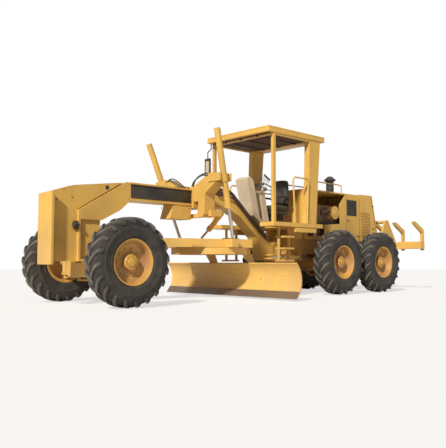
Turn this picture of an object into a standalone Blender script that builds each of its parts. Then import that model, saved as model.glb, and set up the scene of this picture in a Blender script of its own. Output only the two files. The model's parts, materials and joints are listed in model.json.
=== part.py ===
"""Motor grader with an open canopy, a push plate at the front and a ripper at the rear.

Metres. +X is forward, +Y is the machine's left side, +Z is up. The origin is on the ground, at the
middle of the machine's length and width.
"""
import math

import bmesh
import bpy
from mathutils import Matrix, Vector

# Running clearances
SEAT_GAP = 0.0003
PIN_GAP = 0.0009

# Stations along the machine
FRONT_AXLE_X = 4.01
WHEELBASE = 6.086
TANDEM_SPACING = 1.523
HITCH_BEHIND = 4.42
CIRCLE_BEHIND = 2.60

# Wheels
TYRE_RADIUS = 0.685
TYRE_WIDTH = 0.37
BEAD_RADIUS = 0.325
HALF_TRACK = 1.03
HUB_BORE = 0.05
WHEEL_STEPS = 24

# Main beam
BEAM_HALF_WIDTH = 0.14
BEAM_FLANGE_HALF = 0.165
BEAM_FLANGE = 0.025
BEAM_TOP = 2.04
BEAM_BOTTOM = 1.73

# Blade group
CIRCLE_RADIUS = 0.765
CIRCLE_BOTTOM = 0.83
CIRCLE_TOP = 0.95
BLADE_LENGTH = 3.66
BLADE_HEIGHT = 0.61
BLADE_THICKNESS = 0.022
BLADE_CLEARANCE = 0.05
BLADE_BEHIND_CIRCLE = 0.42

# Platform and canopy
DECK_TOP = 1.47
ROOF_TOP = 3.34
ROOF_DEPTH = 0.115
ROOF_HALF_WIDTH = 0.89

YELLOW = (0.80, 0.47, 0.09)
DARK_YELLOW = (0.55, 0.30, 0.07)
RUBBER = (0.05, 0.047, 0.045)
BLACK = (0.02, 0.02, 0.022)
BEIGE = (0.62, 0.56, 0.44)
STEEL = (0.62, 0.62, 0.63)
IRON = (0.16, 0.09, 0.07)


def behind(distance):
    """The x of a place this far behind the front axle."""
    return FRONT_AXLE_X - distance


HITCH_X = behind(HITCH_BEHIND)
CIRCLE_X = behind(CIRCLE_BEHIND)
TANDEM_X = behind(WHEELBASE)


def clear_scene():
    for obj in list(bpy.data.objects):
        bpy.data.objects.remove(obj, do_unlink=True)


def make_collection(name):
    collection = bpy.data.collections.new(name)
    bpy.context.scene.collection.children.link(collection)
    return collection


def make_material(name, colour, roughness=0.5, metallic=0.0):
    material = bpy.data.materials.new(name)
    material.use_nodes = True
    shader = material.node_tree.nodes["Principled BSDF"]
    shader.inputs["Base Color"].default_value = (*colour, 1.0)
    shader.inputs["Roughness"].default_value = roughness
    shader.inputs["Metallic"].default_value = metallic
    return material


clear_scene()
PARTS = make_collection("motor_grader")
HELPERS = make_collection("helpers")
HELPERS.hide_render = True
PAINT = make_material("yellow_paint", YELLOW)
SHADE = make_material("dark_yellow_paint", DARK_YELLOW)
TYRE = make_material("tyre_rubber", RUBBER, 0.85)
BLACK_PAINT = make_material("black_paint", BLACK)
TRIM = make_material("beige_trim", BEIGE, 0.7)
CHROME = make_material("chrome_rod", STEEL, 0.15, 1.0)
CASTING = make_material("cast_iron", IRON, 0.7, 0.6)


# Shapes
def mesh_object(name, bm, collection=HELPERS):
    bmesh.ops.recalc_face_normals(bm, faces=bm.faces)
    mesh = bpy.data.meshes.new(name)
    bm.to_mesh(mesh)
    bm.free()
    obj = bpy.data.objects.new(name, mesh)
    collection.objects.link(obj)
    return obj


def block(x, y, z, bevel=0.0):
    """A box between two x, two y and two z."""
    bm = bmesh.new()
    bmesh.ops.create_cube(bm, size=1.0)
    size = Vector((x[1] - x[0], y[1] - y[0], z[1] - z[0]))
    middle = Vector((x[0] + x[1], y[0] + y[1], z[0] + z[1])) / 2
    bmesh.ops.scale(bm, vec=size, verts=bm.verts)
    bmesh.ops.translate(bm, vec=middle, verts=bm.verts)
    if bevel:
        bmesh.ops.bevel(bm, geom=list(bm.edges), offset=bevel, segments=2, profile=0.5, affect="EDGES")
    return mesh_object("block", bm)


def rod(start, end, radius, end_radius=None, steps=14):
    """A cylinder or a cone between two points."""
    start, end = Vector(start), Vector(end)
    run = end - start
    bm = bmesh.new()
    bmesh.ops.create_cone(
        bm,
        cap_ends=True,
        segments=steps,
        radius1=radius,
        radius2=radius if end_radius is None else end_radius,
        depth=run.length,
    )
    turn = run.to_track_quat("Z", "Y").to_matrix().to_4x4()
    bmesh.ops.transform(bm, matrix=Matrix.Translation((start + end) / 2) @ turn, verts=bm.verts)
    return mesh_object("rod", bm)


def ball(centre, radius, steps=12):
    bm = bmesh.new()
    bmesh.ops.create_uvsphere(bm, u_segments=steps, v_segments=steps // 2, radius=radius)
    bmesh.ops.translate(bm, vec=Vector(centre), verts=bm.verts)
    return mesh_object("ball", bm)


def plate(outline, across, lo, hi):
    """A flat outline given thickness from lo to hi along one axis: X takes (y, z), Y takes (x, z), Z takes (x, y)."""
    order = {"X": lambda a, b, c: (c, a, b), "Y": lambda a, b, c: (a, c, b), "Z": lambda a, b, c: (a, b, c)}[across]
    bm = bmesh.new()
    face = bm.faces.new([bm.verts.new(order(a, b, lo)) for a, b in outline])
    pushed = bmesh.ops.extrude_face_region(bm, geom=[face])
    corners = [item for item in pushed["geom"] if isinstance(item, bmesh.types.BMVert)]
    bmesh.ops.translate(bm, vec=Vector(order(0.0, 0.0, hi - lo)), verts=corners)
    return mesh_object("plate", bm)


def tube(points, radius, sides=10):
    """A bent bar through the points."""
    curve = bpy.data.curves.new("tube", "CURVE")
    curve.dimensions = "3D"
    curve.bevel_depth = radius
    curve.bevel_resolution = max(0, sides // 4 - 1)
    curve.use_fill_caps = True
    spline = curve.splines.new("POLY")
    spline.points.add(len(points) - 1)
    for point, place in zip(spline.points, points):
        point.co = (*place, 1.0)
    guide = bpy.data.objects.new("tube", curve)
    HELPERS.objects.link(guide)
    graph = bpy.context.evaluated_depsgraph_get()
    mesh = bpy.data.meshes.new_from_object(guide.evaluated_get(graph))
    bpy.data.objects.remove(guide)
    bm = bmesh.new()
    bm.from_mesh(mesh)
    bmesh.ops.remove_doubles(bm, verts=bm.verts, dist=0.00005)
    return mesh_object("tube", bm)


def turned(name, profile, centre, side, steps, material):
    """A wheel part: (radius, outward) profile, turned about the Y axis through its centre."""
    bm = bmesh.new()
    corners = [bm.verts.new((radius, 0.0, -outward)) for radius, outward in profile]
    for first, second in zip(corners, corners[1:] + corners[:1]):
        bm.edges.new((first, second))
    mesh = bpy.data.meshes.new(name)
    bm.to_mesh(mesh)
    bm.free()
    obj = bpy.data.objects.new(name, mesh)
    PARTS.objects.link(obj)
    obj.location = centre
    obj.rotation_euler = (math.radians(90) * side, 0.0, 0.0)
    screw = obj.modifiers.new("turn", "SCREW")
    screw.axis = "Z"
    screw.angle = math.tau
    screw.steps = steps
    screw.render_steps = steps
    screw.use_merge_vertices = True
    screw.merge_threshold = 0.0001
    mesh.materials.append(material)
    return obj


def assemble(name, material, pieces, cuts=(), pivot=(0.0, 0.0, 0.0)):
    """One named sub-part: its pieces joined, its cutters taken away, its origin on its joint."""
    base = pieces[0]
    base.name = name
    base.data.name = name
    HELPERS.objects.unlink(base)
    PARTS.objects.link(base)
    for label, operation, others in (("join", "UNION", pieces[1:]), ("cut", "DIFFERENCE", cuts)):
        if not others:
            continue
        group = bpy.data.collections.new(f"{name}_{label}")
        HELPERS.children.link(group)
        for other in others:
            HELPERS.objects.unlink(other)
            group.objects.link(other)
            other.name = f"{name}_{label}"
            other.hide_render = True
            other.display_type = "WIRE"
            set_pivot(other, pivot)
        boolean = base.modifiers.new(label, "BOOLEAN")
        boolean.operation = operation
        boolean.operand_type = "COLLECTION"
        boolean.collection = group
        boolean.solver = "EXACT"
    set_pivot(base, pivot)
    base.data.materials.append(material)
    return base


def set_pivot(obj, pivot):
    """Moves an object's origin to its pivot and leaves its shape in place."""
    obj.data.transform(Matrix.Translation(-Vector(pivot)))
    obj.location = pivot


def y_span(side, near, far):
    """A pair of y values in rising order on one side of the machine."""
    return tuple(sorted((side * near, side * far)))


# Wheels
# name, distance behind the front axle, side
WHEELS = (
    ("front_left", 0.0, 1),
    ("front_right", 0.0, -1),
    ("middle_left", WHEELBASE - TANDEM_SPACING / 2, 1),
    ("middle_right", WHEELBASE - TANDEM_SPACING / 2, -1),
    ("rear_left", WHEELBASE + TANDEM_SPACING / 2, 1),
    ("rear_right", WHEELBASE + TANDEM_SPACING / 2, -1),
)
HALF = TYRE_WIDTH / 2
# (radius, outward) round the section, down the outer side first
TYRE_PROFILE = (
    (TYRE_RADIUS, 0.10),
    (TYRE_RADIUS - 0.02, HALF - 0.015),
    (0.56, HALF),
    (0.44, HALF - 0.004),
    (0.37, HALF - 0.045),
    (BEAD_RADIUS, HALF - 0.045),
    (BEAD_RADIUS, -HALF + 0.045),
    (0.37, -HALF + 0.045),
    (0.44, -HALF + 0.004),
    (0.56, -HALF),
    (TYRE_RADIUS - 0.02, -HALF + 0.015),
    (TYRE_RADIUS, -0.10),
)
RIM_OUT = BEAD_RADIUS - SEAT_GAP
RIM_EDGE = HALF - 0.045 + SEAT_GAP
RIM_PROFILE = (
    (RIM_OUT, RIM_EDGE),
    (RIM_OUT + 0.03, RIM_EDGE),
    (RIM_OUT + 0.03, RIM_EDGE + 0.014),
    (RIM_OUT - 0.03, RIM_EDGE + 0.014),
    (RIM_OUT - 0.04, 0.045),
    (0.165, 0.015),
    (0.125, 0.09),
    (0.0, 0.115),
    (0.0, 0.0),
    (0.16, 0.0),
    (RIM_OUT - 0.035, 0.02),
    (RIM_OUT - 0.03, -RIM_EDGE - 0.014),
    (RIM_OUT + 0.03, -RIM_EDGE - 0.014),
    (RIM_OUT + 0.03, -RIM_EDGE),
    (RIM_OUT, -RIM_EDGE),
)


def make_wheels():
    for name, distance, side in WHEELS:
        centre = (behind(distance), side * HALF_TRACK, TYRE_RADIUS)
        turned(f"tyre_{name}", TYRE_PROFILE, centre, side, WHEEL_STEPS, TYRE)
        turned(f"rim_{name}", RIM_PROFILE, centre, side, WHEEL_STEPS, PAINT)


make_wheels()


# Front frame
KNEE_BEHIND = 0.56
BOLSTER_BOTTOM = 0.70
BOLSTER_TOP = 1.37
NOSE_HALF = 0.10
PUSH_FRONT = -0.85
PUSH_THICKNESS = 0.05
PUSH_HALF_WIDTH = 0.225
BLOCK_HALF = 0.11
HITCH_PIN_RADIUS = 0.045
HITCH_PIN_GAP = 0.0025
HITCH_BLOCK = (0.7365, 1.0585)
ARTICULATION_Y = 0.32
ARTICULATION_Z = 0.80
ARTICULATION_FRONT = 4.00
ARTICULATION_REAR = 4.66
ARTICULATION_REAR_Y = 0.50


def side_view(outline):
    """(distance behind the front axle, z) points as (x, z)."""
    return [(behind(distance), z) for distance, z in outline]


def make_front_frame():
    web = side_view((
        (-0.34, BOLSTER_TOP),
        (-0.34, 1.52),
        (KNEE_BEHIND, BEAM_TOP),
        (2.90, BEAM_TOP),
        (3.00, 2.00),
        (4.05, 1.12),
        (4.25, 1.075),
        (4.25, 0.72),
        (3.98, 0.72),
        (3.75, 1.20),
        (3.25, 1.60),
        (2.95, BEAM_BOTTOM),
        (0.64, BEAM_BOTTOM),
        (0.43, 1.55),
        (0.08, BOLSTER_TOP),
    ))
    flange_x = (behind(2.90), behind(0.62))
    flange_y = (-BEAM_FLANGE_HALF, BEAM_FLANGE_HALF)
    lug_x = (behind(ARTICULATION_FRONT + 0.05), behind(ARTICULATION_FRONT - 0.05))
    hitch_block = block((behind(4.50), behind(4.20)), (-BLOCK_HALF, BLOCK_HALF), HITCH_BLOCK)
    assemble(
        "main_beam",
        PAINT,
        [
            plate(web, "Y", -BEAM_HALF_WIDTH, BEAM_HALF_WIDTH),
            block(flange_x, flange_y, (BEAM_TOP - BEAM_FLANGE, BEAM_TOP + 0.001)),
            block(flange_x, flange_y, (BEAM_BOTTOM - 0.001, BEAM_BOTTOM + BEAM_FLANGE)),
            hitch_block,
            block(lug_x, (-ARTICULATION_Y - 0.03, ARTICULATION_Y + 0.03), (ARTICULATION_Z + 0.0205, ARTICULATION_Z + 0.05)),
            block(lug_x, (-ARTICULATION_Y - 0.03, ARTICULATION_Y + 0.03), (ARTICULATION_Z - 0.05, ARTICULATION_Z - 0.0205)),
        ],
        cuts=[rod((HITCH_X, 0, 0.6), (HITCH_X, 0, 1.2), HITCH_PIN_RADIUS + HITCH_PIN_GAP)],
        pivot=(HITCH_X, 0.0, TYRE_RADIUS),
    )
    nose = side_view((
        (PUSH_FRONT + PUSH_THICKNESS + SEAT_GAP, BOLSTER_BOTTOM),
        (PUSH_FRONT + PUSH_THICKNESS + SEAT_GAP, 1.78),
        (-0.41, 1.91),
        (0.50, BEAM_TOP - 0.01),
        (-0.3403, 1.535),
        (-0.3403, BOLSTER_TOP + 0.01),
        (-0.3453, BOLSTER_TOP),
        (-0.3453, BOLSTER_BOTTOM),
    ))
    assemble("nose_frame", PAINT, [plate(nose, "Y", -NOSE_HALF, NOSE_HALF)], pivot=(HITCH_X, 0, TYRE_RADIUS))
    assemble(
        "push_plate",
        PAINT,
        [
            block(
                (behind(PUSH_FRONT + PUSH_THICKNESS), behind(PUSH_FRONT)),
                (-PUSH_HALF_WIDTH, PUSH_HALF_WIDTH),
                (0.65, 1.77),
                0.008,
            )
        ],
        pivot=(HITCH_X, 0, TYRE_RADIUS),
    )
    socket_face = behind(BALL_BEHIND - BALL_RADIUS - SEAT_GAP)
    assemble(
        "bolster",
        PAINT,
        [
            block((behind(0.07), behind(-0.33)), (-0.10, 0.10), (BOLSTER_BOTTOM, BOLSTER_TOP - SEAT_GAP)),
            block((behind(-0.31), behind(-0.345)), (-0.15, 0.15), (BOLSTER_BOTTOM, BOLSTER_TOP - SEAT_GAP)),
            block((behind(0.07), behind(-0.345)), (-0.15, 0.15), (BOLSTER_BOTTOM, BOLSTER_BOTTOM + 0.04)),
            block((socket_face, behind(0.05)), (-0.07, 0.07), (BALL_Z - 0.06, BALL_Z + 0.06)),
        ],
        pivot=(HITCH_X, 0, TYRE_RADIUS),
    )
    box_outline = side_view(((1.48, 1.47), (1.56, BEAM_BOTTOM - 0.0013), (1.97, BEAM_BOTTOM - 0.0013), (1.97, 1.47)))
    assemble("beam_box", PAINT, [plate(box_outline, "Y", -0.15, 0.15)], pivot=(HITCH_X, 0, TYRE_RADIUS))


# Lift saddle
TRUNNION = (2.109, 0.894, 2.20)
LIFT_FOOT = (2.45, 0.76, 1.1609)
LIFT_TOP = (1.84, 1.0, 3.03)
SADDLE = (2.00, 2.22)
SHIFT_PIVOT = (2.42, 0.50, 1.58)
SHIFT_FOOT = (2.42, -0.06, 1.1509)
CYLINDER_RADIUS = 0.058
# The trunnion pin tapers at its ends, so that it clears the yoke as the cylinder swings
PIN_HALF = 0.1085
PIN_BODY = 0.095
PIN_RADIUS = 0.03
PIN_TIP_RADIUS = 0.006
ROD_RADIUS = 0.03


def make_lift_saddle():
    across = BEAM_FLANGE_HALF + SEAT_GAP
    saddle_x = (behind(2.30), behind(1.98))
    top = BEAM_TOP + 0.001 + SEAT_GAP
    bottom = BEAM_BOTTOM - 0.001 - SEAT_GAP
    pieces = [
        block(saddle_x, (-across - 0.04, across + 0.04), (top, top + 0.04)),
        block(saddle_x, (-across - 0.04, across + 0.04), (bottom - 0.04, bottom)),
    ]
    for side in (1, -1):
        outline = [(side * y, z) for y, z in (
            (across + 0.02, 1.80),
            (across + 0.02, top + 0.04),
            (0.62, 2.29),
            (0.79, 2.29),
            (0.79, 2.11),
            (0.52, 1.93),
            (0.50, 1.56),
            (0.42, 1.50),
            (0.30, 1.53),
            (0.33, 1.80),
        )]
        pieces += [
            block(saddle_x, y_span(side, across, across + 0.04), (bottom - 0.04, top + 0.04)),
            plate(outline, "X", behind(SADDLE[1] + 0.01), behind(SADDLE[0] - 0.01)),
            block((behind(SADDLE[0]), behind(SADDLE[0] - 0.03)), y_span(side, 0.62, 0.94), (2.13, 2.27)),
            block((behind(SADDLE[1] + 0.03), behind(SADDLE[1])), y_span(side, 0.62, 0.94), (2.13, 2.27)),
        ]
    pieces += [
        block((behind(2.16), behind(2.06)), (-0.42, 0.42), (1.51, 1.58)),
        block((behind(SHIFT_PIVOT[0] - 0.0455), behind(2.10)), (0.42, 0.56), (1.52, 1.64)),
    ]
    assemble("lift_saddle", PAINT, pieces, pivot=(HITCH_X, 0, TYRE_RADIUS))


def place(point, side=1):
    """(distance behind the front axle, y, z) as a world point, on the left side or mirrored to the right."""
    return Vector((behind(point[0]), side * point[1], point[2]))


def cylinder_and_rod(names, pivot, foot, top, radius, rod_radius, gland, foot_radius, collar=0.0):
    """A cylinder bored for its rod, with the rod run from its foot into the bore. gland is the share of the way up."""
    axis = top - foot
    mouth = foot + axis * gland
    bore_end = foot + axis * 0.97
    pieces = [rod(mouth, top, radius), rod(mouth - axis.normalized() * 0.01, mouth + axis.normalized() * 0.06, radius * 1.2)]
    if not collar:
        pieces.append(ball(top, radius))
    else:
        pieces.append(rod(pivot - axis.normalized() * 0.07, pivot + axis.normalized() * 0.07, collar))
        pieces.append(rod(pivot - Vector((PIN_BODY, 0, 0)), pivot + Vector((PIN_BODY, 0, 0)), PIN_RADIUS))
        for way in (-1, 1):
            base = pivot + Vector((way * (PIN_BODY - 0.005), 0, 0))
            pieces.append(rod(base, pivot + Vector((way * PIN_HALF, 0, 0)), PIN_RADIUS, PIN_TIP_RADIUS))
    cut = rod(mouth - axis.normalized() * 0.02, bore_end, rod_radius + 0.0009)
    assemble(names[0], PAINT, pieces, cuts=[cut], pivot=pivot)
    reach = foot + axis * (gland + (1 - gland) * 0.55)
    assemble(names[1], CHROME, [rod(foot, reach, rod_radius), ball(foot, foot_radius)], pivot=pivot)


def make_cylinders():
    for label, side in (("left", 1), ("right", -1)):
        cylinder_and_rod(
            (f"lift_cylinder_{label}", f"lift_rod_{label}"),
            place(TRUNNION, side),
            place(LIFT_FOOT, side),
            place(LIFT_TOP, side),
            CYLINDER_RADIUS,
            ROD_RADIUS,
            gland=0.28,
            foot_radius=0.036,
            collar=0.072,
        )
    cylinder_and_rod(
        ("shift_cylinder", "shift_rod"),
        place(SHIFT_PIVOT),
        place(SHIFT_FOOT),
        place(SHIFT_PIVOT),
        0.045,
        0.022,
        gland=0.36,
        foot_radius=0.022,
    )
    for label, side in (("left", 1), ("right", -1)):
        rear = place((ARTICULATION_REAR, ARTICULATION_REAR_Y, ARTICULATION_Z), side)
        front = place((ARTICULATION_FRONT, ARTICULATION_Y, ARTICULATION_Z), side)
        cylinder_and_rod(
            (f"articulation_cylinder_{label}", f"articulation_rod_{label}"),
            rear,
            front,
            rear,
            0.04,
            0.02,
            gland=0.40,
            foot_radius=0.0195,
        )
    apex, ripper_foot = place(RIPPER_APEX), place(RIPPER_CYLINDER_FOOT)
    cylinder_and_rod(
        ("ripper_cylinder", "ripper_rod"),
        place(RIPPER_CYLINDER_FOOT),
        apex + (ripper_foot - apex).normalized() * (APEX_RADIUS + 0.022 + RIPPER_EYE_GAP),
        place(RIPPER_CYLINDER_FOOT),
        0.045,
        0.022,
        gland=0.42,
        foot_radius=0.022,
    )


# Front axle and steering
KINGPIN_Y = 0.90
AXLE_HALF = 0.62
AXLE_Z = (0.44, 0.68)
EAR_LOW = (0.47, 0.505)
EAR_HIGH = (0.865, 0.90)
PIN_LOW = 0.412
ARM_TOP = 0.434
STEER_PIN = (0.20, 0.12)
TIE_Z = 0.38


def make_front_axle():
    assemble(
        "front_axle",
        PAINT,
        [
            block((behind(0.10), behind(-0.10)), (-AXLE_HALF, AXLE_HALF), AXLE_Z, 0.01),
            block((behind(0.07), behind(-0.12)), (-0.14, 0.14), (AXLE_Z[1] - 0.05, BOLSTER_BOTTOM - SEAT_GAP)),
        ],
        pivot=(HITCH_X, 0, TYRE_RADIUS),
    )
    pieces = [rod((behind(0.105), -0.67, 0.82), (behind(0.105), 0.67, 0.82), 0.025)]
    cuts = []
    for side in (1, -1):
        y_near = AXLE_HALF + SEAT_GAP
        pieces += [
            block((behind(0.045), behind(-0.045)), y_span(side, y_near, 0.79), (EAR_LOW[0], EAR_HIGH[1])),
            block((behind(0.13), behind(0.0)), y_span(side, 0.64, 0.69), (0.79, 0.85)),
            block((behind(0.045), behind(-0.045)), y_span(side, 0.77, 0.95), EAR_LOW),
            block((behind(0.045), behind(-0.045)), y_span(side, 0.77, 0.95), EAR_HIGH),
        ]
        cuts.append(rod((FRONT_AXLE_X, side * KINGPIN_Y, 0.3), (FRONT_AXLE_X, side * KINGPIN_Y, 0.6), 0.025 + PIN_GAP))
    assemble("lean_linkage", PAINT, pieces, cuts=cuts, pivot=(HITCH_X, 0, TYRE_RADIUS))
    for label, side in (("left", 1), ("right", -1)):
        kingpin = Vector((FRONT_AXLE_X, side * KINGPIN_Y, TYRE_RADIUS))
        arm_end = (behind(STEER_PIN[0]), side * (KINGPIN_Y - STEER_PIN[1]))
        arm = [
            (FRONT_AXLE_X + 0.02, kingpin.y - side * 0.02),
            (FRONT_AXLE_X - 0.02, kingpin.y + side * 0.02),
            (arm_end[0] - 0.02, arm_end[1] + side * 0.025),
            (arm_end[0] - 0.02, arm_end[1] - side * 0.025),
            (arm_end[0] + 0.03, arm_end[1] - side * 0.025),
        ]
        assemble(
            f"steering_knuckle_{label}",
            PAINT,
            [
                rod((kingpin.x, kingpin.y, EAR_LOW[1] + PIN_GAP), (kingpin.x, kingpin.y, EAR_HIGH[0] - PIN_GAP), 0.05),
                rod((kingpin.x, kingpin.y, PIN_LOW), (kingpin.x, kingpin.y, EAR_LOW[1] + 0.05), 0.025),
                rod(kingpin, (kingpin.x, side * (HALF_TRACK - SEAT_GAP), kingpin.z), 0.06),
                plate(arm, "Z", PIN_LOW, ARM_TOP),
            ],
            pivot=kingpin,
        )
    tie_y = KINGPIN_Y - STEER_PIN[1]
    eye = 0.03
    assemble(
        "tie_rod",
        PAINT,
        [
            rod((behind(STEER_PIN[0]), -tie_y, TIE_Z), (behind(STEER_PIN[0]), tie_y, TIE_Z), 0.02),
            rod((behind(STEER_PIN[0]), tie_y, TIE_Z - 0.024), (behind(STEER_PIN[0]), tie_y, PIN_LOW - SEAT_GAP), eye),
            rod((behind(STEER_PIN[0]), -tie_y, TIE_Z - 0.024), (behind(STEER_PIN[0]), -tie_y, PIN_LOW - SEAT_GAP), eye),
        ],
        pivot=(behind(STEER_PIN[0]), tie_y, TIE_Z),
    )


# Drawbar, circle and blade
BALL_BEHIND = 0.27
BALL_RADIUS = 0.06
BALL_Z = 0.96
DRAWBAR_BOTTOM = CIRCLE_TOP + 0.006
DRAWBAR_TOP = 1.11
DRAWBAR_REAR = 2.95
# distance behind the front axle, y
GUIDE_SHOES = ((1.97, 0.36), (2.60, 0.67))
ARM_Y = (0.50, 0.55)
TIP_PIVOT = (-0.64, 0.30)
BLADE_ARC_RADIUS = 0.413
BLADE_STEPS = 10


def make_drawbar():
    pivot = place((BALL_BEHIND, 0.0, BALL_Z))
    assemble("drawbar_ball", CASTING, [ball(pivot, BALL_RADIUS)], pivot=pivot)
    tongue_x = behind(BALL_BEHIND + BALL_RADIUS + SEAT_GAP)
    levels = (DRAWBAR_BOTTOM, DRAWBAR_TOP)
    pieces = [block((behind(1.30), tongue_x), (-0.075, 0.075), (BALL_Z - 0.075, BALL_Z + 0.09), 0.008)]
    for side in (1, -1):
        leg = [(behind(distance), side * y) for distance, y in (
            (0.95, -0.06),
            (0.85, 0.075),
            (1.50, 0.30),
            (2.60, 0.74),
            (DRAWBAR_REAR, 0.78),
            (DRAWBAR_REAR, 0.62),
            (2.60, 0.58),
            (1.55, 0.16),
        )]
        pieces += [
            plate(leg, "Z", *levels),
            block((behind(2.53), behind(2.37)), y_span(side, 0.50, 0.84), levels),
        ]
    pieces += [
        block((behind(DRAWBAR_REAR), behind(2.80)), (-0.70, 0.70), levels),
        block((behind(2.60), behind(1.70)), (-0.50, 0.50), (DRAWBAR_BOTTOM, DRAWBAR_BOTTOM + 0.03)),
        block((behind(2.20), behind(1.85)), (-0.16, 0.16), (DRAWBAR_BOTTOM, 1.125)),
        block((behind(2.50), behind(2.34)), (-0.14, 0.02), (DRAWBAR_BOTTOM, DRAWBAR_TOP)),
    ]
    for side in (1, -1):
        for distance, y in GUIDE_SHOES:
            shoe_x = (behind(distance + 0.05), behind(distance - 0.05))
            pieces.append(block(shoe_x, y_span(side, y - 0.05, y + 0.05), (CIRCLE_TOP + PIN_GAP, DRAWBAR_BOTTOM + 0.01)))
    assemble("drawbar", PAINT, pieces, pivot=pivot)


def make_circle():
    centre = Vector((CIRCLE_X, 0.0, CIRCLE_TOP))
    ring = rod((CIRCLE_X, 0, CIRCLE_BOTTOM), (CIRCLE_X, 0, CIRCLE_TOP), CIRCLE_RADIUS, steps=40)
    hole = rod((CIRCLE_X, 0, CIRCLE_BOTTOM - 0.1), (CIRCLE_X, 0, CIRCLE_TOP + 0.1), CIRCLE_RADIUS - 0.14, steps=40)
    pieces = [ring]
    outline = [(CIRCLE_X + x, z) for x, z in (
        (-0.34, CIRCLE_BOTTOM + 0.02),
        (-0.57, CIRCLE_BOTTOM + 0.02),
        (-0.73, 0.50),
        (-0.73, 0.24),
        (-0.61, 0.24),
        (-0.61, 0.50),
    )]
    for side in (1, -1):
        pieces.append(plate(outline, "Y", *y_span(side, *ARM_Y)))
    assemble("circle", PAINT, pieces, cuts=[hole], pivot=centre)


def make_blade():
    pivot = Vector((CIRCLE_X + TIP_PIVOT[0], 0.0, TIP_PIVOT[1]))
    middle = (CIRCLE_X - 0.09, BLADE_CLEARANCE + BLADE_HEIGHT / 2)
    sweep = math.asin(BLADE_HEIGHT / 2 / BLADE_ARC_RADIUS)
    inner, outer = [], []
    for step in range(BLADE_STEPS + 1):
        angle = -sweep + 2 * sweep * step / BLADE_STEPS
        for points, radius in ((inner, BLADE_ARC_RADIUS), (outer, BLADE_ARC_RADIUS + BLADE_THICKNESS)):
            points.append((middle[0] - radius * math.cos(angle), middle[1] + radius * math.sin(angle)))
    half = BLADE_LENGTH / 2
    back = CIRCLE_X - 0.56
    rail_half = half - 0.10
    assemble(
        "moldboard",
        PAINT,
        [
            plate(inner + outer[::-1], "Y", -half, half),
            block((back, back + 0.06), (-rail_half, rail_half), (0.22, 0.26)),
            block((back, back + 0.06), (-rail_half, rail_half), (0.45, 0.49)),
        ],
        pivot=pivot,
    )
    carrier_front = back - PIN_GAP
    inside = ARM_Y[0] - 0.005
    pieces = [block((carrier_front - 0.035, carrier_front), (-inside, inside), (0.20, 0.52))]
    for side in (1, -1):
        pieces.append(block((pivot.x - 0.05, carrier_front - 0.02), y_span(side, 0.42, inside), (0.25, 0.35)))
    pin_end = ARM_Y[0] - PIN_GAP
    pieces.append(rod((pivot.x, -pin_end, pivot.z), (pivot.x, pin_end, pivot.z), 0.03))
    assemble("blade_carrier", PAINT, pieces, pivot=pivot)


# Rear frame
RAIL_Y = (0.30, 0.40)
RAIL_Z = (0.88, 1.18)
HOOD_HALF = 0.47
HOOD_TOP = 2.28
RADIATOR_FRONT = 6.95
TANDEM_Y = (0.60, 0.79)
RIPPER_PIVOT = (7.86, 0.0, 0.96)
RIPPER_APEX = (8.22, 0.0, 1.70)
RIPPER_CYLINDER_FOOT = (7.8459, 0.0, 1.28)
APEX_RADIUS = 0.04
RIPPER_EYE_GAP = 0.006
RIPPER_BEAM_HALF = 1.15
SHANK_SPACING = 0.534


def make_rear_frame():
    pieces = [block((behind(4.70), behind(4.56)), (-0.40, 0.40), (0.67, RAIL_Z[1]))]
    for side in (1, -1):
        pieces += [
            block((behind(7.75), behind(4.60)), y_span(side, *RAIL_Y), RAIL_Z),
            block((behind(6.26), behind(5.91)), y_span(side, *RAIL_Y), (0.855, RAIL_Z[0] + 0.01)),
            block((behind(7.92), behind(7.70)), y_span(side, 0.33, 0.39), (0.86, 1.08)),
            rod(
                (behind(RIPPER_PIVOT[0]), side * 0.35, RIPPER_PIVOT[2]),
                (behind(RIPPER_PIVOT[0]), side * 0.46, RIPPER_PIVOT[2]),
                0.03,
            ),
            block((behind(4.70), behind(4.62)), y_span(side, 0.35, ARTICULATION_REAR_Y + 0.04), (0.8405, 0.88)),
            block((behind(4.70), behind(4.62)), y_span(side, 0.35, ARTICULATION_REAR_Y + 0.04), (0.72, 0.7595)),
        ]
    pieces += [
        block((behind(7.75), behind(7.62)), (-0.40, 0.40), (0.86, 1.175)),
        block((behind(7.80), behind(7.7303)), (-0.10, 0.10), (1.0, 1.35)),
        block((behind(7.75), behind(7.73)), (-0.10, 0.10), (1.0, 1.35)),
        block((behind(4.60), behind(4.30)), (-0.13, 0.13), (0.69, 0.735)),
        block((behind(4.60), behind(4.30)), (-0.13, 0.13), (1.06, 1.105)),
        rod((HITCH_X, 0, 0.70), (HITCH_X, 0, 1.10), HITCH_PIN_RADIUS),
    ]
    assemble("rear_frame", SHADE, pieces)


def make_tandem_axle():
    low, high = 0.48, 0.89
    pieces = [rod((TANDEM_X, -0.70, TYRE_RADIUS), (TANDEM_X, 0.70, TYRE_RADIUS), 0.1695, steps=24)]
    for side in (1, -1):
        case = [
            (TANDEM_X + x, z)
            for x, z in (
                (-0.92, 0.60), (-0.84, low), (0.84, low), (0.92, 0.60),
                (0.92, 0.78), (0.84, high), (-0.84, high), (-0.92, 0.78),
            )
        ]
        pieces.append(plate(case, "Y", *y_span(side, *TANDEM_Y)))
        for hub in (-TANDEM_SPACING / 2, TANDEM_SPACING / 2):
            start = (TANDEM_X + hub, side * (TANDEM_Y[1] - 0.05), TYRE_RADIUS)
            end = (TANDEM_X + hub, side * (HALF_TRACK - SEAT_GAP), TYRE_RADIUS)
            pieces.append(rod(start, end, 0.10))
    assemble("tandem_axle", SHADE, pieces)


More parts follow.
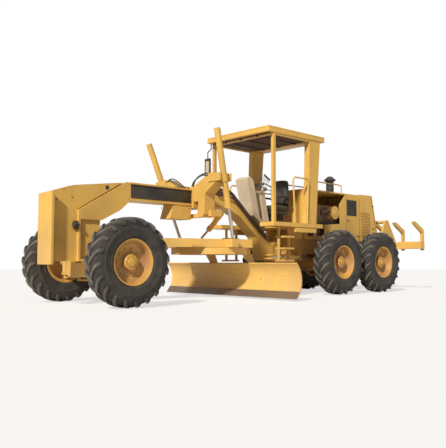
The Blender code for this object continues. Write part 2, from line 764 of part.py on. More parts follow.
def make_engine_bay():
    rail_top = RAIL_Z[1] + SEAT_GAP
    engine_half = 0.33
    assemble(
        "engine_block",
        CASTING,
        [block((behind(6.75), behind(5.45)), (-engine_half, engine_half), (rail_top, 1.98), 0.02)],
    )
    drum = (behind(6.02), 1.98 - 0.17)
    assemble(
        "air_cleaner",
        PAINT,
        [rod((drum[0], engine_half + SEAT_GAP, drum[1]), (drum[0], 0.45, drum[1]), 0.155, 0.12, 18)],
    )
    panel = side_view((
        (4.96, rail_top),
        (4.96, 1.24),
        (5.58, 1.26),
        (5.60, 1.52),
        (6.19, 1.56),
        (6.17, 2.00),
        (6.42, HOOD_TOP - 0.01),
        (RADIATOR_FRONT, HOOD_TOP - 0.01),
        (RADIATOR_FRONT, rail_top),
    ))
    pieces = [
        block((behind(RADIATOR_FRONT), behind(4.95)), (-HOOD_HALF, HOOD_HALF), (HOOD_TOP - 0.03, HOOD_TOP)),
        block((behind(4.98), behind(4.95)), (-HOOD_HALF, HOOD_HALF), (rail_top, HOOD_TOP)),
    ]
    for side in (1, -1):
        pieces += [
            plate(panel, "Y", *y_span(side, HOOD_HALF - 0.02, HOOD_HALF)),
            block((behind(RADIATOR_FRONT), behind(4.95)), y_span(side, 0.36, HOOD_HALF), (rail_top, rail_top + 0.02)),
        ]
    assemble("engine_hood", PAINT, pieces)
    radiator = side_view((
        (RADIATOR_FRONT + SEAT_GAP, rail_top),
        (RADIATOR_FRONT + SEAT_GAP, HOOD_TOP + 0.02),
        (7.50, HOOD_TOP + 0.03),
        (7.725, 1.42),
        (7.725, rail_top),
    ))
    assemble("radiator_housing", PAINT, [plate(radiator, "Y", -HOOD_HALF, HOOD_HALF)])
    stack_x = behind(6.44)
    assemble(
        "exhaust_stack",
        BLACK_PAINT,
        [
            rod((stack_x, 0, HOOD_TOP + SEAT_GAP), (stack_x, 0, 2.64), 0.09, steps=20),
            rod((stack_x, 0, 2.62), (stack_x, 0, 2.66), 0.135, steps=20),
            rod((stack_x, 0, 2.65), (stack_x, 0, 2.73), 0.135, 0.05, steps=20),
        ],
    )


# Operator's station
WING_FRONT = 3.40
FLOOR_FRONT = 3.97
DECK_REAR = 4.93
DECK_HALF = 0.93
WING_INNER = 0.55
DECK_THICKNESS = 0.08
STEP_HANGERS = (3.72, 4.02)
STEP_LEVELS = (0.70, 0.94, 1.17)
STEP_THICKNESS = 0.035


def make_platform():
    deck = [(behind(distance), y) for distance, y in (
        (WING_FRONT, DECK_HALF), (WING_FRONT, WING_INNER), (FLOOR_FRONT, WING_INNER),
        (FLOOR_FRONT, -WING_INNER), (WING_FRONT, -WING_INNER), (WING_FRONT, -DECK_HALF),
        (DECK_REAR, -DECK_HALF), (DECK_REAR, DECK_HALF),
    )]
    under = DECK_TOP - DECK_THICKNESS
    pieces = [plate(deck, "Z", under, DECK_TOP)]
    for side in (1, -1):
        pieces += [
            block((behind(4.70), behind(4.05)), y_span(side, 0.78, DECK_HALF), (1.29, 1.372)),
            block((behind(4.70), behind(4.05)), y_span(side, 0.80, 0.90), (1.36, under + 0.01)),
            block((behind(4.90), behind(4.60)), y_span(side, *RAIL_Y), (RAIL_Z[1] + SEAT_GAP, under + 0.01)),
        ]
    for side in (1, -1):
        for distance in STEP_HANGERS:
            hanger_x = (behind(distance + 0.02), behind(distance))
            pieces.append(block(hanger_x, y_span(side, 0.72, 0.78), (STEP_LEVELS[0], under + 0.01)))
        tread_x = (behind(STEP_HANGERS[1] + 0.01), behind(STEP_HANGERS[0] + 0.01))
        for level in STEP_LEVELS:
            pieces.append(block(tread_x, y_span(side, 0.66, 0.90), (level, level + STEP_THICKNESS)))
    assemble("operator_platform", PAINT, pieces)


def make_canopy():
    roof_under = ROOF_TOP - ROOF_DEPTH
    frame_z = (roof_under - 0.04, roof_under - SEAT_GAP)
    pieces = []
    for side in (1, -1):
        rear = side_view(((4.46, DECK_TOP + SEAT_GAP), (4.52, 1.75), (4.58, roof_under - SEAT_GAP),
                          (4.92, roof_under - SEAT_GAP), (4.76, DECK_TOP + SEAT_GAP)))
        pieces += [
            plate(rear, "Y", *y_span(side, 0.74, 0.88)),
            block((behind(3.51), behind(3.44)), y_span(side, 0.82, 0.88), (DECK_TOP + SEAT_GAP, roof_under - SEAT_GAP)),
        ]
        pieces.append(block((behind(4.90), behind(3.46)), y_span(side, 0.825, 0.875), frame_z))
    pieces += [
        block((behind(3.505), behind(3.445)), (-0.85, 0.85), frame_z),
        block((behind(4.88), behind(4.62)), (-0.80, 0.80), frame_z),
    ]
    assemble("canopy_posts", PAINT, pieces)
    assemble(
        "canopy_roof",
        PAINT,
        [
            block(
                (behind(5.06), behind(3.30)),
                (-ROOF_HALF_WIDTH, ROOF_HALF_WIDTH),
                (roof_under, ROOF_TOP),
                0.012,
            )
        ],
    )
    for label, side in (("left", 1), ("right", -1)):
        rail = tube(
            [
                (behind(4.05), side * 0.905, DECK_TOP + SEAT_GAP),
                (behind(4.05), side * 0.905, DECK_TOP + 0.12),
                (behind(4.0), side * 0.905, 2.33),
                (behind(4.05), side * 0.905, 2.39),
                (behind(4.44), side * 0.905, 2.39),
                (behind(4.48), side * 0.905, 2.33),
                (behind(4.44), side * 0.905, DECK_TOP + 0.12),
                (behind(4.44), side * 0.905, DECK_TOP + SEAT_GAP),
            ],
            0.018,
        )
        assemble(f"handrail_{label}", PAINT, [rail])
    mirror_y = -0.96
    assemble(
        "mirror",
        BLACK_PAINT,
        [
            block((behind(3.39), behind(3.36)), (mirror_y - 0.09, mirror_y + 0.09), (2.50, 2.92), 0.01),
            tube([(behind(3.375), mirror_y, 2.90), (behind(3.375), mirror_y, 3.05),
                  (behind(3.375), -0.85, 3.12), (behind(3.375), -0.85, roof_under - SEAT_GAP)], 0.012),
        ],
    )


def make_controls():
    console = side_view((
        (FLOOR_FRONT - SEAT_GAP, 1.40), (FLOOR_FRONT - SEAT_GAP, 1.47), (3.80, 1.62), (3.62, 2.36),
        (3.52, 2.43), (3.44, 2.37), (3.62, 1.64),
    ))
    column = side_view(((4.02, DECK_TOP + SEAT_GAP), (3.90, 2.16), (4.02, 2.20), (4.18, DECK_TOP + SEAT_GAP)))
    assemble("control_console", TRIM, [plate(console, "Y", -0.17, 0.17)])
    assemble("steering_column", TRIM, [plate(column, "Y", -0.10, 0.10)])
    assemble(
        "operator_seat",
        BLACK_PAINT,
        [
            block((behind(4.56), behind(4.24)), (-0.17, 0.17), (DECK_TOP + SEAT_GAP, 1.76)),
            block((behind(4.68), behind(4.18)), (-0.26, 0.26), (1.74, 1.90), 0.03),
            block((behind(4.72), behind(4.60)), (-0.25, 0.25), (1.80, 2.48), 0.03),
        ],
    )


def make_ripper():
    pivot = place(RIPPER_PIVOT)
    outline = side_view((
        (7.80, 0.90), (7.80, 1.02), (8.15, 1.74), (8.27, 1.74), (8.66, 1.16), (8.66, 1.03), (7.95, 0.90),
    ))
    pieces = [
        block((behind(8.80), behind(8.60)), (-RIPPER_BEAM_HALF, RIPPER_BEAM_HALF), (1.02, 1.20), 0.01),
        rod(place((RIPPER_APEX[0], -0.42, RIPPER_APEX[2])), place((RIPPER_APEX[0], 0.42, RIPPER_APEX[2])), APEX_RADIUS),
    ]
    cuts = []
    for side in (1, -1):
        pieces.append(plate(outline, "Y", *y_span(side, 0.40, 0.45)))
        cuts.append(rod(place((RIPPER_PIVOT[0], side * 0.37, RIPPER_PIVOT[2])),
                        place((RIPPER_PIVOT[0], side * 0.48, RIPPER_PIVOT[2])), 0.03 + PIN_GAP))
    hook = side_view((
        (8.79, 0.98), (8.79, 1.42), (8.42, 1.62), (8.37, 1.68), (8.46, 1.70), (8.87, 1.50), (8.87, 0.98),
    ))
    for index in range(-2, 3):
        middle = index * SHANK_SPACING
        pieces.append(plate(hook, "Y", middle - 0.032, middle + 0.032))
    assemble("ripper", PAINT, pieces, cuts=cuts, pivot=pivot)


make_front_frame()
make_lift_saddle()
make_front_axle()
make_drawbar()
make_circle()
make_blade()
make_rear_frame()
make_tandem_axle()
make_engine_bay()
make_platform()
make_canopy()
make_controls()
make_ripper()
make_cylinders()
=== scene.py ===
import json
import math
import random

import bmesh
import bpy
from mathutils import Matrix, Vector


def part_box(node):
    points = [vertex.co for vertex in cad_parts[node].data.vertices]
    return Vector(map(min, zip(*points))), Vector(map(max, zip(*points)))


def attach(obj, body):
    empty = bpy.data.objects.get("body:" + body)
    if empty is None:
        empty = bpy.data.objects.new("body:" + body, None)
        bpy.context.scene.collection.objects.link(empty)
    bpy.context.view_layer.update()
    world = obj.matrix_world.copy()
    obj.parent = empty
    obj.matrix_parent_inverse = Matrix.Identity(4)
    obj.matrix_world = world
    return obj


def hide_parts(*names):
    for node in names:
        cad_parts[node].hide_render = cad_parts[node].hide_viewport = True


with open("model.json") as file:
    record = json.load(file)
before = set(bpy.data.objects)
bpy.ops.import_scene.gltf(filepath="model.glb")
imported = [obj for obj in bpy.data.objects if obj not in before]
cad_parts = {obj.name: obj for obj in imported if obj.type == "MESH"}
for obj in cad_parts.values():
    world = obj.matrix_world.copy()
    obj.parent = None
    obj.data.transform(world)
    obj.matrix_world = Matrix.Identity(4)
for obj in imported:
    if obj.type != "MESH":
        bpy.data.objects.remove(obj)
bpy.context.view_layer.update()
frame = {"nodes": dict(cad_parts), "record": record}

random.seed(7)
frontAxleX = (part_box("rim_front_left")[0].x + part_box("rim_front_left")[1].x) / 2


# x of a place this far behind the front axle
def back(distance):
    return frontAxleX - distance


print("materials")


# a node maker for one material: settings first, then inputs by name or number
def nodeMaker(tree):
    def make(kind, inputs=None, **settings):
        node = tree.nodes.new(kind)
        for key, value in settings.items():
            setattr(node, key, value)
        for key, value in (inputs or {}).items():
            if isinstance(value, bpy.types.NodeSocket):
                tree.links.new(value, node.inputs[key])
            else:
                node.inputs[key].default_value = value
        return node

    return make


def mixColours(make, share, first, second):
    node = make("ShaderNodeMix", data_type="RGBA")
    tree = node.id_data
    for key, value in ((0, share), (6, first), (7, second)):
        if isinstance(value, bpy.types.NodeSocket):
            tree.links.new(value, node.inputs[key])
        elif key:
            node.inputs[key].default_value = (*value, 1.0)
        else:
            node.inputs[key].default_value = value
    return node.outputs[2]


def ramp(make, value, low, high, start=0.0, end=1.0):
    return make("ShaderNodeMapRange", {0: value, 1: low, 2: high, 3: start, 4: end}).outputs[0]


def times(make, first, second, how="MULTIPLY"):
    return make("ShaderNodeMath", {0: first, 1: second}, operation=how, use_clamp=True).outputs[0]


# a worn surface: patchy colour, dust from above and below (on turned parts, dust and painted shade from a per-vertex
# attribute), rubbed edges, grain in the gloss
def worn(name, look):
    material = bpy.data.materials.new(name)
    material.use_nodes = True
    tree = material.node_tree
    make = nodeMaker(tree)
    shader = tree.nodes["Principled BSDF"]
    place = make("ShaderNodeTexCoord").outputs["Object"]
    patches = make("ShaderNodeTexNoise", {"Vector": place, "Scale": look["patch"], "Detail": 6.0}).outputs[0]
    grain = make("ShaderNodeTexNoise", {"Vector": place, "Scale": look["grain"], "Detail": 5.0}).outputs[0]
    colour = mixColours(make, ramp(make, patches, 0.35, 0.65), look["colour"], look["fade"])
    speckle = ramp(make, grain, 0.42, 0.62)
    if look.get("dust"):
        if look.get("turning"):
            reach = make("ShaderNodeAttribute", attribute_name="grimeAndShade").outputs["Fac"]
        else:
            normal = make("ShaderNodeNewGeometry").outputs["Normal"]
            up = make("ShaderNodeSeparateXYZ", {0: normal}).outputs[2]
            height = make("ShaderNodeSeparateXYZ", {0: place}).outputs[2]
            low = ramp(make, height, 0.3, 1.5, 0.65, 0.12)
            reach = times(make, low, ramp(make, up, 0.2, 0.95, 0.0, 0.5), "ADD")
        cover = times(make, reach, ramp(make, patches, 0.3, 0.62, 0.25, 1.0))
        cover = times(make, cover, ramp(make, grain, 0.3, 0.6, 0.55, 1.0))
        colour = mixColours(make, times(make, cover, look["dust"]), colour, look["dustColour"])
    if look.get("wear"):
        flat = make("ShaderNodeNewGeometry").outputs["Normal"]
        round_ = make("ShaderNodeBevel", {"Radius": look.get("edge", 0.006)}, samples=3).outputs[0]
        turn = make("ShaderNodeVectorMath", {0: flat, 1: round_}, operation="DOT_PRODUCT").outputs["Value"]
        rubbed = times(make, ramp(make, turn, 0.97, 0.8), times(make, speckle, look["wear"]))
        colour = mixColours(make, rubbed, colour, look["wearColour"])
    if look.get("chips"):
        spots = make("ShaderNodeTexNoise", {"Vector": place, "Scale": 9.0, "Detail": 9.0, "Roughness": 0.7})
        chipped = times(make, ramp(make, spots.outputs[0], 0.64, 0.68), look["chips"])
        colour = mixColours(make, chipped, colour, look["wearColour"])
    tree.links.new(colour, shader.inputs["Base Color"])
    tree.links.new(ramp(make, patches, 0.3, 0.7, *look["rough"]), shader.inputs["Roughness"])
    shader.inputs["Metallic"].default_value = look.get("metal", 0.0)
    bump = make("ShaderNodeBump", {"Strength": look["bump"], "Distance": look.get("depth", 0.002), "Height": grain})
    tree.links.new(bump.outputs[0], shader.inputs["Normal"])
    return material


dryDust = (0.50, 0.35, 0.20)
# reddish brown for dust and painted shade: it darkens the rim dishes and the canopy ceiling
reddishDustAndShade = (0.33, 0.17, 0.09)
finishes = {
    "machinePaint": dict(
        colour=(0.76, 0.455, 0.095), fade=(0.62, 0.365, 0.075), patch=1.7, grain=70.0, rough=(0.34, 0.52),
        dust=0.75, dustColour=dryDust, wear=0.85, wearColour=(0.16, 0.08, 0.04), chips=0.6, bump=0.06,
    ),
    # a darker copy of machinePaint with darker dust: painted shade for the parts that sit in shade
    "shadedPaint": dict(
        colour=(0.60, 0.32, 0.06), fade=(0.42, 0.22, 0.06), patch=2.2, grain=60.0, rough=(0.5, 0.75),
        dust=1.0, dustColour=(0.36, 0.22, 0.12), wear=0.8, wearColour=(0.16, 0.08, 0.05), chips=0.8, bump=0.15,
    ),
    # rims: dust plus painted shade, reddish brown deepest in the dish and on the inner side
    "rimYellow": dict(
        colour=(0.62, 0.35, 0.06), fade=(0.50, 0.27, 0.05), patch=5.0, grain=60.0, rough=(0.4, 0.6), turning=True,
        dust=1.0, dustColour=reddishDustAndShade, wear=0.7, wearColour=(0.2, 0.1, 0.05), chips=0.4, bump=0.1,
    ),
    "tyreRubber": dict(
        colour=(0.014, 0.013, 0.013), fade=(0.026, 0.023, 0.022), patch=7.0, grain=90.0, rough=(0.75, 0.95),
        turning=True, dust=1.0, dustColour=(0.185, 0.160, 0.135), wear=0.5, wearColour=(0.10, 0.09, 0.08),
        bump=0.3, depth=0.003,
    ),
    "mattBlack": dict(
        colour=(0.016, 0.016, 0.018), fade=(0.03, 0.028, 0.027), patch=4.0, grain=90.0, rough=(0.4, 0.6),
        dust=0.35, dustColour=dryDust, wear=0.4, wearColour=(0.10, 0.08, 0.07), bump=0.08,
    ),
    "beigeTrim": dict(
        colour=(0.60, 0.50, 0.36), fade=(0.50, 0.40, 0.28), patch=4.0, grain=160.0, rough=(0.55, 0.75),
        dust=0.6, dustColour=dryDust, wear=0.4, wearColour=(0.3, 0.24, 0.18), bump=0.15, depth=0.001,
    ),
    "seatVinyl": dict(
        colour=(0.022, 0.021, 0.022), fade=(0.04, 0.037, 0.035), patch=8.0, grain=380.0, rough=(0.45, 0.65),
        dust=0.35, dustColour=dryDust, bump=0.35, depth=0.0008,
    ),
    "polishedRod": dict(
        colour=(0.66, 0.65, 0.63), fade=(0.55, 0.53, 0.50), patch=6.0, grain=180.0, rough=(0.12, 0.3),
        dust=0.25, dustColour=dryDust, metal=1.0, bump=0.03,
    ),
    "engineIron": dict(
        colour=(0.15, 0.085, 0.06), fade=(0.24, 0.12, 0.06), patch=6.0, grain=60.0, rough=(0.6, 0.9),
        dust=0.6, dustColour=dryDust, wear=0.5, wearColour=(0.30, 0.17, 0.09), bump=0.35, depth=0.003,
    ),
    "bladeSteel": dict(
        colour=(0.36, 0.33, 0.31), fade=(0.28, 0.22, 0.18), patch=3.0, grain=45.0, rough=(0.32, 0.55),
        dust=0.5, dustColour=dryDust, wear=0.5, wearColour=(0.6, 0.58, 0.55), metal=0.85, bump=0.1,
    ),
    "hoseRubber": dict(
        colour=(0.035, 0.032, 0.030), fade=(0.07, 0.055, 0.045), patch=9.0, grain=200.0, rough=(0.6, 0.85),
        dust=0.9, dustColour=(0.34, 0.24, 0.15), bump=0.2, depth=0.001,
    ),
    "brownHose": dict(
        colour=(0.045, 0.026, 0.018), fade=(0.085, 0.048, 0.030), patch=9.0, grain=200.0, rough=(0.65, 0.9),
        dust=0.6, dustColour=(0.24, 0.15, 0.09), bump=0.2, depth=0.001,
    ),
    # near-black brown for the canopy's underside: painted shade
    "ceilingShadeBrown": dict(
        colour=(0.055, 0.028, 0.018), fade=(0.080, 0.040, 0.024), patch=3.0, grain=120.0, rough=(0.7, 0.9),
        dust=0.2, dustColour=reddishDustAndShade, bump=0.1,
    ),
    "dialFace": dict(
        colour=(0.02, 0.02, 0.022), fade=(0.03, 0.03, 0.03), patch=30.0, grain=300.0, rough=(0.1, 0.2), bump=0.01,
    ),
    "mirrorGlass": dict(
        colour=(0.78, 0.80, 0.82), fade=(0.74, 0.76, 0.78), patch=10.0, grain=300.0, rough=(0.03, 0.07), metal=1.0,
        bump=0.0,
    ),
}
looks = {name: worn(name, look) for name, look in finishes.items()}
# the shade_paint slot gets the darker copy of the paint, which is painted shade
slotLooks = {
    "paint": "machinePaint", "shade_paint": "shadedPaint", "tyre": "tyreRubber", "black": "mattBlack",
    "seat": "seatVinyl", "trim": "beigeTrim", "rod": "polishedRod", "iron": "engineIron",
}
for part in frame["record"]["subparts"]:
    solid = bpy.data.objects.get(part["node"]) or frame["nodes"][part["node"]]
    solid.data.materials.clear()
    solid.data.materials.append(looks[slotLooks[part["material_slot"]]])

print("shape helpers")


def addBlock(shape, x, y, z, bevel=0.0):
    made = bmesh.ops.create_cube(shape, size=1.0)["verts"]
    size = Vector((x[1] - x[0], y[1] - y[0], z[1] - z[0]))
    middle = Vector((x[0] + x[1], y[0] + y[1], z[0] + z[1])) / 2
    bmesh.ops.scale(shape, vec=size, verts=made)
    bmesh.ops.translate(shape, vec=middle, verts=made)
    if bevel:
        edges = {edge for corner in made for edge in corner.link_edges}
        bmesh.ops.bevel(shape, geom=list(edges), offset=bevel, segments=2, profile=0.5, affect="EDGES")


def addRod(shape, start, end, radius, endRadius=None, steps=20):
    start, end = Vector(start), Vector(end)
    run = end - start
    turn = run.to_track_quat("Z", "Y").to_matrix().to_4x4()
    bmesh.ops.create_cone(
        shape, cap_ends=True, segments=steps, radius1=radius, radius2=radius if endRadius is None else endRadius,
        depth=run.length, matrix=Matrix.Translation((start + end) / 2) @ turn,
    )


# a hexagon head on a round washer, standing on a face
def addBolt(shape, place, out, size=0.012):
    place, out = Vector(place), Vector(out).normalized()
    addRod(shape, place, place + out * size * 0.25, size * 1.35, steps=14)
    addRod(shape, place + out * size * 0.2, place + out * size * 0.9, size, size * 0.93, steps=6)


# points of a smooth line through the given ones
def smoothLine(points, between=6):
    points = [Vector(p) for p in points]
    ends = [points[0] * 2 - points[1], *points, points[-1] * 2 - points[-2]]
    line = []
    for a, b, c, d in zip(ends, ends[1:], ends[2:], ends[3:]):
        for step in range(between):
            t = step / between
            line.append(
                0.5 * ((2 * b) + (c - a) * t + (2 * a - 5 * b + 4 * c - d) * t * t + (3 * b - a - 3 * c + d) * t**3)
            )
    return line + [points[-1]]


def addTube(shape, points, radius, sides=10, between=6):
    line = smoothLine(points, between)
    heading = (line[1] - line[0]).normalized()
    across = heading.orthogonal().normalized()
    rings = []
    for spot, place in enumerate(line):
        ahead = line[min(spot + 1, len(line) - 1)] - line[max(spot - 1, 0)]
        turn = heading.rotation_difference(ahead.normalized())
        across = (turn @ across).normalized()
        heading = ahead.normalized()
        side = heading.cross(across)
        rings.append([
            shape.verts.new(
                place + radius * (across * math.cos(k * math.tau / sides) + side * math.sin(k * math.tau / sides))
            )
            for k in range(sides)
        ])
    for first, second in zip(rings, rings[1:]):
        for k in range(sides):
            shape.faces.new((first[k], first[(k + 1) % sides], second[(k + 1) % sides], second[k]))
    shape.faces.new(rings[0][::-1])
    shape.faces.new(rings[-1])


# a flat outline given thickness along one axis
def addPlate(shape, outline, axis, low, high):
    order = {"X": lambda a, b, c: (c, a, b), "Y": lambda a, b, c: (a, c, b), "Z": lambda a, b, c: (a, b, c)}[axis]
    face = shape.faces.new([shape.verts.new(order(a, b, low)) for a, b in outline])
    pushed = bmesh.ops.extrude_face_region(shape, geom=[face])["geom"]
    corners = [item for item in pushed if isinstance(item, bmesh.types.BMVert)]
    bmesh.ops.translate(shape, vec=Vector(order(0, 0, high - low)), verts=corners)


# (radius, outward) turned about the wheel's axle; each point carries its darkening: dust on tyres, dust plus painted
# shade on rims
def addTurned(shape, profile, centre, side, steps, grimeAndShade=None):
    rings = []
    for radius, outward in profile:
        if radius < 1e-6:
            rings.append([shape.verts.new((centre[0], centre[1] + side * outward, centre[2]))])
            continue
        rings.append([
            shape.verts.new((
                centre[0] + radius * math.cos(k * math.tau / steps), centre[1] + side * outward,
                centre[2] + radius * math.sin(k * math.tau / steps),
            ))
            for k in range(steps)
        ])
    for index, (first, second) in enumerate(zip(rings, rings[1:] + rings[:1])):
        if len(first) == 1 and len(second) == 1:
            continue
        for k in range(steps):
            after = (k + 1) % steps
            corners = [
                first[k % len(first)], first[after % len(first)], second[after % len(second)], second[k % len(second)],
            ]
            shape.faces.new(list(dict.fromkeys(corners)))
    if grimeAndShade:
        layer = shape.verts.layers.float.get("grimeAndShade") or shape.verts.layers.float.new("grimeAndShade")
        for ring, amount in zip(rings, grimeAndShade):
            for corner in ring:
                corner[layer] = amount


def finishPiece(name, shape, look, body, bevel=0.0, sharp=35.0):
    bmesh.ops.recalc_face_normals(shape, faces=shape.faces)
    mesh = bpy.data.meshes.new(name)
    shape.to_mesh(mesh)
    shape.free()
    mesh.materials.append(looks[look])
    mesh.shade_smooth()
    mesh.set_sharp_from_angle(angle=math.radians(sharp))
    piece = bpy.data.objects.new(name, mesh)
    bpy.context.scene.collection.objects.link(piece)
    if bevel:
        rounding = piece.modifiers.new("soft edges", "BEVEL")
        rounding.width = bevel
        rounding.segments = 2
        rounding.limit_method = "ANGLE"
        rounding.harden_normals = True
    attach(piece, body)
    return piece


print("camera and light")
cameraView = {
    "place": (9.076, 8.497, 0.6905),
    "turn": (93.67, 0.0, 136.76),
    "lens": 47.47,
}
camera = bpy.data.objects.new("camera", bpy.data.cameras.new("camera"))
camera.location = cameraView["place"]
camera.rotation_euler = [math.radians(angle) for angle in cameraView["turn"]]
camera.data.lens = cameraView["lens"]
bpy.context.scene.collection.objects.link(camera)
bpy.context.scene.camera = camera
bpy.context.scene.view_settings.view_transform = "Standard"

studio = {
    "sunFrom": (0.95, 0.40, 0.72), "sunPower": 4.3, "sunSpread": 4.0, "sunColour": (1.0, 0.95, 0.86),
    "skyPower": 0.26, "floorSize": 90.0, "floorColour": (0.82, 0.80, 0.77), "floorGlow": 0.62,
}
sun = bpy.data.objects.new("key light", bpy.data.lights.new("key light", "SUN"))
sun.data.energy = studio["sunPower"]
sun.data.angle = math.radians(studio["sunSpread"])
sun.data.color = studio["sunColour"]
sun.rotation_euler = Vector(studio["sunFrom"]).to_track_quat("Z", "Y").to_euler()
bpy.context.scene.collection.objects.link(sun)
world = bpy.data.worlds.new("studio")
bpy.context.scene.world = world
world.use_nodes = True
makeWorld = nodeMaker(world.node_tree)
for node in list(world.node_tree.nodes):
    world.node_tree.nodes.remove(node)
seen = makeWorld("ShaderNodeLightPath").outputs["Is Camera Ray"]
soft = makeWorld("ShaderNodeBackground", {"Color": (0.94, 0.96, 1.0, 1.0), "Strength": studio["skyPower"]})
plain = makeWorld("ShaderNodeBackground", {"Color": (1.0, 1.0, 1.0, 1.0), "Strength": 1.0})
both = makeWorld("ShaderNodeMixShader", {0: seen, 1: soft.outputs[0], 2: plain.outputs[0]})
makeWorld("ShaderNodeOutputWorld", {"Surface": both.outputs[0]})

half = studio["floorSize"] / 2
floorShape = bmesh.new()
floorCorners = ((-1, -1), (1, -1), (1, 1), (-1, 1))
floorShape.faces.new([floorShape.verts.new((x * half, y * half, -0.001)) for x, y in floorCorners])
floorMesh = bpy.data.meshes.new("floor")
floorShape.to_mesh(floorMesh)
floorShape.free()
floor = bpy.data.objects.new("floor", floorMesh)
bpy.context.scene.collection.objects.link(floor)
floorLook = bpy.data.materials.new("paleFloor")
floorLook.use_nodes = True
makeFloor = nodeMaker(floorLook.node_tree)
for node in list(floorLook.node_tree.nodes):
    floorLook.node_tree.nodes.remove(node)
matt = makeFloor("ShaderNodeBsdfDiffuse", {"Color": (*studio["floorColour"], 1.0)})
glow = makeFloor("ShaderNodeEmission", {"Color": (1.0, 1.0, 1.0, 1.0), "Strength": 1.0})
looking = makeFloor("ShaderNodeLightPath").outputs["Is Camera Ray"]
share = times(makeFloor, looking, studio["floorGlow"])
mixed = makeFloor("ShaderNodeMixShader", {0: share, 1: matt.outputs[0], 2: glow.outputs[0]})
makeFloor("ShaderNodeOutputMaterial", {"Surface": mixed.outputs[0]})
floorMesh.materials.append(floorLook)

print("wheels")
tyreShape = {
    "lugs": 20, "skew": 0.30, "thick": 0.055, "steps": 72,
    "section": (
        (0.3256, 0.139, 0.1), (0.358, 0.139, 0.2), (0.366, 0.152, 0.25), (0.390, 0.165, 0.2), (0.398, 0.171, 0.3),
        (0.406, 0.167, 0.2), (0.440, 0.177, 0.2), (0.500, 0.180, 0.2), (0.507, 0.184, 0.3), (0.514, 0.180, 0.2),
        (0.560, 0.178, 0.2), (0.600, 0.168, 0.15), (0.632, 0.150, 0.12), (0.647, 0.120, 0.12), (0.654, 0.060, 0.12),
        (0.656, 0.000, 0.12),
    ),
    # across, top radius, base radius, share along the lug
    "lug": (
        (0.000, 0.6835, 0.645, 0.00), (0.045, 0.6845, 0.645, 0.22), (0.095, 0.6825, 0.640, 0.48),
        (0.138, 0.676, 0.625, 0.70), (0.168, 0.658, 0.600, 0.86), (0.183, 0.628, 0.585, 0.95),
        (0.186, 0.592, 0.575, 1.00),
    ),
}
rimShape = {
    "steps": 64, "nuts": 10, "nutCircle": 0.197, "capBolts": 8, "capCircle": 0.088,
    # (radius, outward, darkening): the third value is dust plus painted shade, highest deep in the dish and on the
    # inner side, lowest on the lip and hub cap
    "section": (
        (0.3247, 0.139, 0.5), (0.353, 0.141, 0.4), (0.355, 0.150, 0.2), (0.349, 0.154, 0.2), (0.334, 0.149, 0.3),
        (0.322, 0.138, 0.6), (0.314, 0.112, 0.7), (0.309, 0.070, 0.9), (0.298, 0.026, 1.0), (0.275, 0.022, 0.9),
        (0.262, 0.018, 0.7), (0.232, 0.012, 0.8), (0.222, 0.008, 1.0), (0.170, 0.008, 0.9), (0.148, 0.012, 1.0),
        (0.128, 0.016, 1.0), (0.122, 0.080, 0.5), (0.112, 0.092, 0.3), (0.066, 0.096, 0.6), (0.062, 0.110, 0.3),
        (0.050, 0.114, 0.2), (0.000, 0.115, 0.2), (0.000, 0.000, 1.0), (0.160, 0.000, 1.0), (0.275, -0.002, 1.0),
        (0.294, -0.008, 1.0), (0.296, -0.120, 1.0), (0.312, -0.143, 1.0), (0.345, -0.154, 0.8),
        (0.355, -0.150, 0.5), (0.353, -0.141, 0.5), (0.3247, -0.139, 0.5),
    ),
}


def addLug(shape, centre, start, direction, layer, side):
    rows = []
    for across, top, base, along in tyreShape["lug"]:
        angle = start + direction * tyreShape["skew"] * along
        spread = tyreShape["thick"] * (1.0 - 0.25 * along)
        row = []
        for radius, reach, dirt in ((base, 1.25, 0.12), (top, 0.85, 0.85), (top, -0.85, 0.85), (base, -1.25, 0.12)):
            turn = angle + reach * spread
            corner = shape.verts.new((
                centre[0] + radius * math.cos(turn), centre[1] + side * across, centre[2] + radius * math.sin(turn),
            ))
            corner[layer] = dirt
            row.append(corner)
        rows.append(row)
    for first, second in zip(rows, rows[1:]):
        for k in range(4):
            shape.faces.new((first[k], first[(k + 1) % 4], second[(k + 1) % 4], second[k]))
    shape.faces.new(rows[0][::-1])
    shape.faces.new(rows[-1])


